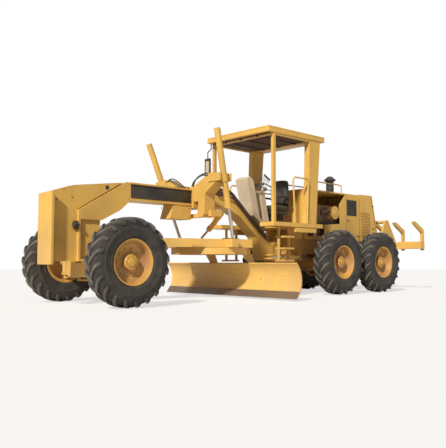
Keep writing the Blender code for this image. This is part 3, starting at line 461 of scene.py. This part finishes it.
wheelNames = [f"{row}_{side}" for row in ("front", "middle", "rear") for side in ("left", "right")]
for wheel in wheelNames:
    low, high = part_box(f"tyre_{wheel}")
    centre = (low + high) / 2
    side = 1 if centre.y > 0 else -1
    tyre = bmesh.new()
    layer = tyre.verts.layers.float.new("grimeAndShade")
    outer = list(tyreShape["section"])
    inner = [(radius, -outward, dirt) for radius, outward, dirt in outer[-2::-1]]
    section = outer + inner
    addTurned(
        tyre, [row[:2] for row in section], centre, side, tyreShape["steps"], [row[2] for row in section]
    )
    for lug in range(tyreShape["lugs"]):
        angle = lug * math.tau / tyreShape["lugs"]
        addLug(tyre, centre, angle, 1, layer, 1)
        addLug(tyre, centre, angle + math.pi / tyreShape["lugs"], 1, layer, -1)
    piece = finishPiece(f"lugTyre_{wheel}", tyre, "tyreRubber", f"wheel_{wheel}", sharp=32)
    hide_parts(f"tyre_{wheel}")

    rim = bmesh.new()
    rim.verts.layers.float.new("grimeAndShade")
    section = rimShape["section"]
    addTurned(rim, [row[:2] for row in section], centre, side, rimShape["steps"], [row[2] for row in section])
    piece = finishPiece(f"dishRim_{wheel}", rim, "rimYellow", f"wheel_{wheel}", sharp=28)
    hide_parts(f"rim_{wheel}")
    nuts = bmesh.new()
    for count, circle, outward, size in (
        (rimShape["nuts"], rimShape["nutCircle"], 0.008, 0.017),
        (rimShape["capBolts"], rimShape["capCircle"], 0.094, 0.008),
    ):
        for k in range(count):
            turn = k * math.tau / count
            place = (
                centre.x + circle * math.cos(turn), centre.y + side * outward, centre.z + circle * math.sin(turn),
            )
            addBolt(nuts, place, (0, side, 0), size)
    addRod(  # valve stem
        nuts, (centre.x + 0.245, centre.y + side * 0.04, centre.z),
        (centre.x + 0.285, centre.y + side * 0.085, centre.z), 0.006, steps=8,
    )
    finishPiece(f"wheelNuts_{wheel}", nuts, "engineIron" if wheel[0] != "f" else "rimYellow", f"wheel_{wheel}")

print("front frame")
webHalf = 0.14
sidePlate = {"x": (back(1.97), back(0.64)), "z": (1.775, 2.008), "thick": 0.006}
for side, word in ((1, "left"), (-1, "right")):
    plates = bmesh.new()
    faces = sorted((side * webHalf, side * (webHalf + sidePlate["thick"])))
    addBlock(plates, sidePlate["x"], faces, sidePlate["z"], 0.002)
    finishPiece(f"beamPlate_{word}", plates, "mattBlack", "front_frame")

noseBolts = bmesh.new()
for side in (-1, 1):
    for d, z in ((-0.70, 1.66), (-0.45, 1.72), (0.05, 0.80), (0.35, 0.80)):
        addBolt(noseBolts, (back(d), side * 0.10, z), (0, side, 0), 0.014)
    for d in (0.60, 1.10, 1.52, 1.66, 1.80, 1.94, 2.30, 2.70):  # along the flange
        addBolt(noseBolts, (back(d), side * 0.152, 1.755), (0, side, 0.0), 0.008)
    for d, z in ((1.52, 1.50), (1.93, 1.50), (1.52, 1.68), (1.93, 1.68)):  # beam box corners
        addBolt(noseBolts, (back(d), side * 0.15, z), (0, side, 0), 0.010)
finishPiece("frameBolts", noseBolts, "shadedPaint", "front_frame")

towEyes, noseHoleShadeDiscs = bmesh.new(), bmesh.new()
for side in (-1, 1):
    addBlock(towEyes, (back(-0.42), back(-0.36)), sorted((side * 0.10, side * 0.16)), (1.21, 1.34), 0.006)
    addRod(towEyes, (back(-0.36), side * 0.155, 1.275), (back(-0.44), side * 0.155, 1.275), 0.040, 0.046)
    # thin black discs stand for holes through the nose plates: painted shade of their dark inside
    addRod(noseHoleShadeDiscs, (back(0.2), side * 0.099, 1.92), (back(0.2), side * 0.102, 1.92), 0.036, steps=28)
finishPiece("noseEyes", towEyes, "mattBlack", "front_frame")
finishPiece("noseHoleShadeDiscs", noseHoleShadeDiscs, "mattBlack", "front_frame")

# hoses and steel lines clipped down the top of the beam and the neck
hoseRun = {"count": 6, "radius": 0.013, "spacing": 0.034}
line = [  # distance behind the front axle, height
    (1.75, 2.062), (2.25, 2.066), (2.75, 2.068), (2.95, 2.045),
    (3.20, 1.86), (3.55, 1.585), (3.85, 1.345), (3.99, 1.22),
]
for index in range(hoseRun["count"]):
    hoses = bmesh.new()
    y = (index - (hoseRun["count"] - 1) / 2) * hoseRun["spacing"]
    points = []
    for spot, (d, z) in enumerate(line):
        sway = random.uniform(-0.006, 0.006)
        lift = random.uniform(0.0, 0.012) + (0.014 if 3 < spot < 7 else 0.0)
        points.append((back(d) + lift * 0.6, y + sway, z + lift))
    addTube(hoses, points, hoseRun["radius"], 10, 5)
    finishPiece(f"neckHose_{index + 1}", hoses, "hoseRubber", "front_frame")
# a looser bundle down the left side of the neck
neckBundle = {
    "line": ((2.62, 1.96), (2.95, 1.97), (3.20, 1.80), (3.52, 1.52), (3.80, 1.30), (3.97, 1.16)),
    "count": 5, "radius": 0.015, "start": 0.175, "away": 0.188, "step": 0.026, "stack": 0.032, "trail": 0.018,
}
for index in range(neckBundle["count"]):
    hoses = bmesh.new()
    points = []
    for spot, (d, z) in enumerate(neckBundle["line"]):
        away = neckBundle["away"] + neckBundle["step"] * (index % 2) + random.uniform(-0.006, 0.010)
        height = z + neckBundle["stack"] * index + random.uniform(-0.008, 0.012)
        points.append((back(d) + neckBundle["trail"] * index, away if spot else neckBundle["start"], height))
    addTube(hoses, points, neckBundle["radius"], 10, 6)
    finishPiece(f"neckBundle_{index + 1}", hoses, "brownHose", "front_frame")
clips = bmesh.new()
for d, z, tilt in ((1.90, 2.04, 0), (2.40, 2.04, 0), (2.80, 2.04, 0)):
    addBlock(clips, (back(d) - 0.018, back(d) + 0.018), (-0.125, 0.125), (z + 0.036, z + 0.048), 0.003)
    for y in (-0.118, 0.118):
        addBlock(clips, (back(d) - 0.018, back(d) + 0.018), (y - 0.007, y + 0.007), (z, z + 0.042), 0.002)
finishPiece("hoseClips", clips, "machinePaint", "front_frame")

# hoses from the beam to the lift cylinders' pivots and the shift cylinder
for side, word in ((1, "left"), (-1, "right")):
    feeds = bmesh.new()
    for shift in (0.0, 0.035):
        addTube(feeds, [
            (back(2.02) - shift, side * 0.10, 2.07), (back(1.96) - shift, side * 0.26, 2.18 + shift),
            (back(1.97) - shift, side * 0.46, 2.26 + shift), (back(2.00) - shift, side * 0.62, 2.24 + shift),
            (back(2.03) - shift, side * 0.72, 2.16 + shift),
        ], 0.012, 10, 6)
    finishPiece(f"liftHoses_{word}", feeds, "hoseRubber", "front_frame")

print("circle and blade")
teeth = bmesh.new()
circleX = back(2.60)
for k in range(72):  # gear teeth inside the ring
    turn = k * math.tau / 72
    facing = Matrix.Translation((circleX, 0, 0)) @ Matrix.Rotation(turn, 4, "Z")
    before = set(teeth.verts)
    addBlock(teeth, (0.612, 0.640), (-0.013, 0.013), (0.862, 0.925))
    bmesh.ops.transform(teeth, matrix=facing, verts=[v for v in teeth.verts if v not in before])
finishPiece("circleTeeth", teeth, "engineIron", "circle")

bladeLow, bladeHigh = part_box("moldboard")
# the edge is a flat steel strip bolted on the front of the moldboard, from its foot to its top
cuttingEdge = {"foot": (1.0538, 0.0342), "top": (0.9573, 0.158), "thick": 0.014, "bolts": 20}
edgeRun = Vector((cuttingEdge["top"][0] - cuttingEdge["foot"][0], 0, cuttingEdge["top"][1] - cuttingEdge["foot"][1]))
edgeOut = Vector((edgeRun.z, 0, -edgeRun.x)).normalized()
edgeFoot = Vector((cuttingEdge["foot"][0], 0, cuttingEdge["foot"][1])) + edgeOut * 0.0005
edgeTop = edgeFoot + edgeRun
edge = bmesh.new()
middleY = (bladeLow.y + bladeHigh.y) / 2
for y0, y1 in ((bladeLow.y + 0.004, middleY - 0.002), (middleY + 0.002, bladeHigh.y - 0.004)):
    face = [edgeFoot, edgeTop, edgeTop + edgeOut * cuttingEdge["thick"], edgeFoot + edgeOut * cuttingEdge["thick"]]
    addPlate(edge, [(corner.x, corner.z) for corner in face], "Y", y0, y1)
finishPiece("cuttingEdge", edge, "bladeSteel", "blade", bevel=0.002)
edgeBolts = bmesh.new()
boltLine = edgeFoot.lerp(edgeTop, 0.62) + edgeOut * (cuttingEdge["thick"] - 0.001)
for k in range(cuttingEdge["bolts"]):
    y = bladeLow.y + 0.09 + k * (bladeHigh.y - bladeLow.y - 0.18) / (cuttingEdge["bolts"] - 1)
    addBolt(edgeBolts, (boltLine.x, y, boltLine.z), edgeOut, 0.010)
finishPiece("edgeBolts", edgeBolts, "bladeSteel", "blade")

print("platform and steps")
treads = bmesh.new()
for z in (0.70, 0.94, 1.17):  # grip bars on the steps
    for side in (-1, 1):
        for k in range(6):
            x = back(3.75) - k * 0.05
            addBlock(treads, (x - 0.012, x + 0.012), sorted((side * 0.68, side * 0.88)), (z + 0.026, z + 0.036))
finishPiece("stepGrips", treads, "engineIron", "chassis")
deckGrips = bmesh.new()
for row in range(9):
    for column in range(26):
        x = back(4.02) - row * 0.1
        y = -0.86 + column * 0.0688
        if abs(y) > 0.30:
            turn = math.radians(45 if (row + column) % 2 else -45)
            rise = Vector((math.cos(turn), math.sin(turn), 0)) * 0.02
            addRod(deckGrips, (x - rise.x, y - rise.y, 1.470), (x + rise.x, y + rise.y, 1.470), 0.004, steps=6)
finishPiece("deckGrips", deckGrips, "shadedPaint", "chassis")

print("operator's station")
seatLow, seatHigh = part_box("operator_seat")


# a padded block: crowned faces, sides drawn in between corners, channels sewn across
def addCushion(shape, x, y, z, crown, axis, channels):
    bmesh.ops.create_cube(shape, size=2.0)
    bmesh.ops.subdivide_edges(shape, edges=shape.edges[:], cuts=13, use_grid_fill=True)
    size = Vector(((x[1] - x[0]) / 2, (y[1] - y[0]) / 2, (z[1] - z[0]) / 2))
    middle = Vector(((x[0] + x[1]) / 2, (y[0] + y[1]) / 2, (z[0] + z[1]) / 2))
    for corner in shape.verts:
        p = corner.co.copy()
        rounded = Vector([p[i] * math.sqrt(max(0.0, 1 - p[(i + 1) % 3] ** 2 / 2 - p[(i + 2) % 3] ** 2 / 2
                          + (p[(i + 1) % 3] * p[(i + 2) % 3]) ** 2 / 3)) for i in range(3)])
        p = p.lerp(rounded, 0.42)
        other = [i for i in range(3) if i != axis]
        swell = (1 - p[other[0]] ** 2) * (1 - p[other[1]] ** 2)
        groove = sum(math.exp(-((p[other[0]] - c) / 0.07) ** 2) for c in channels)
        if p[axis] > 0:
            p[axis] += (crown * swell - 0.12 * min(groove, 1.0) * (1 - abs(p[other[1]]) ** 6)) * max(p[axis], 0)
        p[other[0]] *= 1 - 0.03 * (1 - p[other[1]] ** 2)
        p[other[1]] *= 1 - 0.03 * (1 - p[other[0]] ** 2)
        corner.co = middle + Vector((p.x * size.x, p.y * size.y, p.z * size.z))


cushion = bmesh.new()
addCushion(cushion, (seatLow.x + 0.07, seatHigh.x - 0.01), (-0.25, 0.25), (1.76, 1.895), 0.22, 2, (-0.4, 0.3))
seatCushion = finishPiece("seatCushion", cushion, "seatVinyl", "chassis", sharp=80)
backPad = bmesh.new()
addCushion(backPad, (seatLow.x + 0.04, seatLow.x + 0.155), (-0.245, 0.245), (1.90, 2.47), 0.25, 0, (-0.5, 0.2))
seatBack = finishPiece("seatBackPad", backPad, "seatVinyl", "chassis", sharp=80)
seatFrame = bmesh.new()
addBlock(seatFrame, (seatLow.x + 0.09, seatHigh.x - 0.03), (-0.22, 0.22), (1.70, 1.765), 0.012)
addBlock(seatFrame, (seatLow.x + 0.12, seatHigh.x - 0.08), (-0.17, 0.17), (1.47, 1.50), 0.004)
for k in range(6):  # bellows of the suspension
    addBlock(
        seatFrame, (seatLow.x + 0.15 - 0.012 * (k % 2), seatHigh.x - 0.12 + 0.012 * (k % 2)),
        (-0.14 - 0.012 * (k % 2), 0.14 + 0.012 * (k % 2)), (1.498 + k * 0.034, 1.534 + k * 0.034), 0.006,
    )
addBlock(seatFrame, (seatLow.x + 0.012, seatLow.x + 0.055), (-0.19, 0.19), (1.78, 2.40), 0.016)
finishPiece("seatFrame", seatFrame, "mattBlack", "chassis")
arms = bmesh.new()
for side in (-1, 1):
    addTube(arms, [
        (seatLow.x + 0.05, side * 0.235, 2.06), (seatLow.x + 0.20, side * 0.238, 2.08),
        (seatLow.x + 0.42, side * 0.238, 2.075),
    ], 0.022, 12, 5)
finishPiece("seatArms", arms, "seatVinyl", "chassis")
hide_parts("operator_seat")

wheelRing = {"centre": (-0.145, 0.0, 2.245), "radius": 0.19, "grip": 0.014, "lean": 32.0}
steering = bmesh.new()
lean = Matrix.Translation(wheelRing["centre"]) @ Matrix.Rotation(math.radians(-wheelRing["lean"]), 4, "Y")
ringTurns = [k * math.tau / 36 for k in range(37)]
ring = [lean @ (wheelRing["radius"] * Vector((math.cos(turn), math.sin(turn), 0))) for turn in ringTurns]
addTube(steering, ring, wheelRing["grip"], 12, 1)
for k in range(3):
    turn = k * math.tau / 3
    addTube(steering, [
        lean @ Vector((0.03 * math.cos(turn), 0.03 * math.sin(turn), -0.02)),
        lean @ Vector((0.11 * math.cos(turn), 0.11 * math.sin(turn), -0.012)),
        lean @ Vector((0.185 * math.cos(turn), 0.185 * math.sin(turn), 0.0)),
    ], 0.009, 8, 4)
addRod(steering, lean @ Vector((0, 0, -0.045)), lean @ Vector((0, 0, 0.004)), 0.036, 0.044, 24)
finishPiece("steeringWheel", steering, "mattBlack", "chassis")

levers, knobs = bmesh.new(), bmesh.new()
for side in (-1, 1):
    for k in range(5):
        foot = Vector((0.08 + k * 0.045, side * 0.10, 2.10 + k * 0.02))
        top = Vector((-0.02 + k * 0.05, side * (0.24 + 0.012 * k), 2.40 + k * 0.018))
        addTube(levers, [foot, foot.lerp(top, 0.5) + Vector((0, side * 0.02, -0.02)), top], 0.007, 8, 5)
        bmesh.ops.create_uvsphere(knobs, u_segments=16, v_segments=10, radius=0.021, matrix=Matrix.Translation(top))
finishPiece("controlLevers", levers, "polishedRod", "chassis")
finishPiece("leverKnobs", knobs, "mattBlack", "chassis", sharp=80)

dials = bmesh.new()
bezels = bmesh.new()
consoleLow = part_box("control_console")[0]
gauges = (  # y, height, radius
    (-0.09, 2.30, 0.045), (0.02, 2.30, 0.045), (0.11, 2.32, 0.03), (-0.09, 2.18, 0.03), (0.02, 2.18, 0.03),
)
for y, z, size in gauges:
    addRod(bezels, (consoleLow.x + 0.02, y, z), (consoleLow.x - 0.008, y, z), size, size, 28)
    addRod(dials, (consoleLow.x - 0.006, y, z), (consoleLow.x - 0.010, y, z), size * 0.86, size * 0.86, 28)
finishPiece("dialBezels", bezels, "mattBlack", "chassis")
finishPiece("dials", dials, "dialFace", "chassis")

mirrorFace = {
    "back": 0.620, "glassY": (-1.04, -0.88), "glassZ": (2.515, 2.905),
    "front": 0.650, "panelY": (-1.012, -0.908), "panelZ": (2.56, 2.86),
}
mirrorGlass, mirrorPanel = bmesh.new(), bmesh.new()
glassX = (mirrorFace["back"] - 0.003, mirrorFace["back"] + 0.001)
panelX = (mirrorFace["front"] - 0.001, mirrorFace["front"] + 0.003)
addBlock(mirrorGlass, glassX, mirrorFace["glassY"], mirrorFace["glassZ"], 0.002)
addBlock(mirrorPanel, panelX, mirrorFace["panelY"], mirrorFace["panelZ"], 0.002)
finishPiece("mirrorGlass", mirrorGlass, "mirrorGlass", "chassis")
finishPiece("mirrorPanel", mirrorPanel, "beigeTrim", "chassis")

print("canopy")
roofLow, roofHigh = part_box("canopy_roof")
# a dark brown ribbed sheet under the roof: painted shade for the shaded ceiling
ceiling = bmesh.new()
addBlock(
    ceiling, (roofLow.x + 0.08, roofHigh.x - 0.08), (roofLow.y + 0.08, roofHigh.y - 0.08),
    (roofLow.z - 0.012, roofLow.z - 0.001), 0.004,
)
for y in (-0.45, 0.0, 0.45):
    addBlock(
        ceiling, (roofLow.x + 0.12, roofHigh.x - 0.12), (y - 0.02, y + 0.02),
        (roofLow.z - 0.035, roofLow.z - 0.010), 0.006,
    )
finishPiece("ceilingShadePanel", ceiling, "ceilingShadeBrown", "chassis")
roofRim = bmesh.new()
for x0, x1, y0, y1 in (
    (roofLow.x, roofHigh.x, roofHigh.y - 0.012, roofHigh.y + 0.004),
    (roofLow.x, roofHigh.x, roofLow.y - 0.004, roofLow.y + 0.012),
    (roofHigh.x - 0.012, roofHigh.x + 0.004, roofLow.y, roofHigh.y),
    (roofLow.x - 0.004, roofLow.x + 0.012, roofLow.y, roofHigh.y),
):
    addBlock(roofRim, (x0, x1), (y0, y1), (roofLow.z + 0.002, roofLow.z + 0.020), 0.003)
    addBlock(roofRim, (x0, x1), (y0, y1), (roofHigh.z - 0.022, roofHigh.z - 0.004), 0.003)
finishPiece("roofRim", roofRim, "machinePaint", "chassis")

print("engine and hood")
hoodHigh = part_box("engine_hood")[1]
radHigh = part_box("radiator_housing")[1]
rearFace = {"top": (back(7.50), 2.31), "knee": (back(7.725), 1.42)}


# x of the radiator housing's rear face, which slopes above its knee
def rearX(z):
    share = (z - rearFace["knee"][1]) / (rearFace["top"][1] - rearFace["knee"][1])
    return rearFace["knee"][0] + max(0.0, share) * (rearFace["top"][0] - rearFace["knee"][0])


for side, word in ((1, "left"), (-1, "right")):
    decal = bmesh.new()
    y = sorted((side * hoodHigh.y, side * (hoodHigh.y + 0.003)))
    addPlate(decal, [(back(6.45), 1.77), (back(6.45), 2.14), (back(6.84), 2.14), (back(6.84), 1.77)], "Y", *y)
    finishPiece(f"hoodPlate_{word}", decal, "mattBlack", "chassis")
    fins = bmesh.new()
    for k in range(16):  # louvres beside the radiator
        z = 1.30 + k * 0.038
        before = set(fins.verts)
        addBlock(fins, (radHigh.x - 0.45, radHigh.x - 0.06), (-0.009, 0.009), (-0.003, 0.003), 0.001)
        tilt = Matrix.Translation((0, side * (radHigh.y + 0.004), z)) @ Matrix.Rotation(math.radians(side * 35), 4, "X")
        bmesh.ops.transform(fins, matrix=tilt, verts=[v for v in fins.verts if v not in before])
    finishPiece(f"radiatorLouvres_{word}", fins, "machinePaint", "chassis")
    gaps = bmesh.new()
    for x in (radHigh.x - 0.002, back(6.43)):
        faces = sorted((side * (hoodHigh.y - 0.001), side * (hoodHigh.y + 0.0015)))
        addBlock(gaps, (x - 0.004, x + 0.004), faces, (1.20, 2.20))
    finishPiece(f"panelGaps_{word}", gaps, "mattBlack", "chassis")
    slant = bmesh.new()
    addPlate(
        slant, [(rearX(z) + inset, z) for z, inset in ((1.45, 0.045), (2.26, 0.045), (2.26, 0.060), (1.45, 0.060))],
        "Y", *sorted((side * (radHigh.y - 0.001), side * (radHigh.y + 0.0015))),
    )
    finishPiece(f"rearEdgeLine_{word}", slant, "mattBlack", "chassis")
    latches = bmesh.new()
    for x, z in (
        (back(6.48), 1.30), (back(6.48), 1.66), (back(6.88), 1.30), (radHigh.x - 0.58, 1.50), (radHigh.x - 0.58, 2.05),
    ):
        faces = sorted((side * hoodHigh.y, side * (hoodHigh.y + 0.014)))
        addBlock(latches, (x - 0.030, x + 0.030), faces, (z - 0.012, z + 0.012), 0.004)
    finishPiece(f"hoodLatches_{word}", latches, "mattBlack", "chassis")
    rail = bmesh.new()
    addTube(rail, [
        (back(5.10), side * 0.40, hoodHigh.z - 0.005), (back(5.12), side * 0.41, hoodHigh.z + 0.15),
        (back(5.22), side * 0.41, hoodHigh.z + 0.19), (back(5.75), side * 0.41, hoodHigh.z + 0.19),
        (back(6.22), side * 0.41, hoodHigh.z + 0.19), (back(6.32), side * 0.41, hoodHigh.z + 0.15),
        (back(6.34), side * 0.40, hoodHigh.z - 0.005),
    ], 0.014, 12, 6)
    finishPiece(f"hoodRail_{word}", rail, "machinePaint", "chassis")

grille = bmesh.new()
for k in range(21):  # bars behind the fan
    z = 1.30 + k * 0.046
    addBlock(grille, (rearX(z) - 0.010, rearX(z) + 0.002), (-0.40, 0.40), (z - 0.006, z + 0.006), 0.002)
stripHeights = (1.27, 1.42, 2.25)
for y in (-0.40, -0.2, 0.0, 0.2, 0.40):
    strip = [(rearX(z) - 0.016, z) for z in stripHeights] + [(rearX(z) + 0.002, z) for z in stripHeights[::-1]]
    addPlate(grille, strip, "Y", y - 0.008, y + 0.008)
finishPiece("rearGrille", grille, "mattBlack", "chassis")

caps = bmesh.new()
for x, y, r in ((back(7.15), 0.0, 0.055), (back(5.35), -0.25, 0.045), (back(6.75), 0.28, 0.040)):
    top = radHigh.z if x < radHigh.x else hoodHigh.z
    addRod(caps, (x, y, top - 0.002), (x, y, top + 0.022), r, r * 0.92, 28)
    addRod(caps, (x, y, top + 0.020), (x, y, top + 0.034), r * 0.5, r * 0.42, 6)
finishPiece("fillerCaps", caps, "mattBlack", "chassis")

engineLow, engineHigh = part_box("engine_block")
for side, word in ((1, "left"), (-1, "right")):
    castings = bmesh.new()
    faceY = side * engineHigh.y
    for k in range(6):  # ribs and ports along the block
        x = engineHigh.x - 0.12 - k * 0.205
        addBlock(castings, (x - 0.014, x + 0.014), sorted((faceY, faceY + side * 0.022)), (1.28, 1.90), 0.004)
        addRod(castings, (x - 0.09, faceY, 1.78), (x - 0.09, faceY + side * 0.05, 1.80), 0.040, 0.032, 20)
    addBlock(
        castings, (engineLow.x + 0.04, engineHigh.x - 0.04), sorted((faceY, faceY + side * 0.035)), (1.18, 1.27), 0.008,
    )
    addTube(castings, [
        (engineHigh.x - 0.14, faceY + side * 0.055, 1.82), (engineHigh.x - 0.60, faceY + side * 0.065, 1.83),
        (engineLow.x + 0.14, faceY + side * 0.055, 1.82),
    ], 0.036, 14, 6)
    finishPiece(f"engineCastings_{word}", castings, "engineIron", "chassis")
    lines = bmesh.new()
    for k in range(4):
        z = 1.34 + k * 0.075
        addTube(lines, [
            (engineHigh.x + 0.03, faceY * 0.6, z), (engineHigh.x - 0.10, faceY + side * 0.030, z),
            (engineHigh.x - 0.55, faceY + side * (0.032 + 0.006 * k), z + 0.04 * (k % 2)),
            (engineLow.x + 0.25, faceY + side * 0.030, z + 0.02),
        ], 0.010, 8, 6)
    finishPiece(f"engineLines_{word}", lines, "hoseRubber", "chassis")

cleanerLow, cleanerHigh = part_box("air_cleaner")
cleaner = bmesh.new()
middleX, middleZ = (cleanerLow.x + cleanerHigh.x) / 2, (cleanerLow.z + cleanerHigh.z) / 2
cleanerRadius = (cleanerHigh.z - cleanerLow.z) / 2
for inset, out in ((0.004, 0.006), (0.055, 0.012), (0.11, 0.018)):
    addRod(
        cleaner, (middleX, cleanerHigh.y - 0.002, middleZ), (middleX, cleanerHigh.y + out, middleZ),
        cleanerRadius - inset, cleanerRadius - inset - 0.01, 40,
    )
finishPiece("cleanerCover", cleaner, "machinePaint", "chassis")

stackLow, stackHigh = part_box("exhaust_stack")
stackX = (stackLow.x + stackHigh.x) / 2
band = bmesh.new()
for z in (stackLow.z + 0.03, stackLow.z + 0.16):
    addRod(band, (stackX, 0, z), (stackX, 0, z + 0.018), 0.098, 0.098, 32)
finishPiece("stackBands", band, "engineIron", "chassis")

print("rear end")
tips = bmesh.new()
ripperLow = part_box("ripper")[0]
for y in (0.0, 0.534, -0.534, 1.068, -1.068):  # bolts where the shanks pass the beam
    for z in (1.045, 1.175):
        addBolt(tips, (ripperLow.x - 0.001 + 0.07, y + 0.062, z), (-1, 0, 0), 0.011)
        addBolt(tips, (ripperLow.x - 0.001 + 0.07, y - 0.062, z), (-1, 0, 0), 0.011)
finishPiece("ripperBolts", tips, "engineIron", "ripper")
tandem = bmesh.new()
for side in (-1, 1):
    for d in (5.55, 5.83, 6.34, 6.62):
        for z in (0.56, 0.81):
            addBolt(tandem, (back(d), side * 0.79, z), (0, side, 0), 0.013)
    for k in range(12):
        turn = k * math.tau / 12
        place = (back(6.086) + 0.13 * math.cos(turn), side * 0.79, 0.685 + 0.13 * math.sin(turn))
        addBolt(tandem, place, (0, side, 0), 0.010)
finishPiece("tandemBolts", tandem, "engineIron", "chassis")
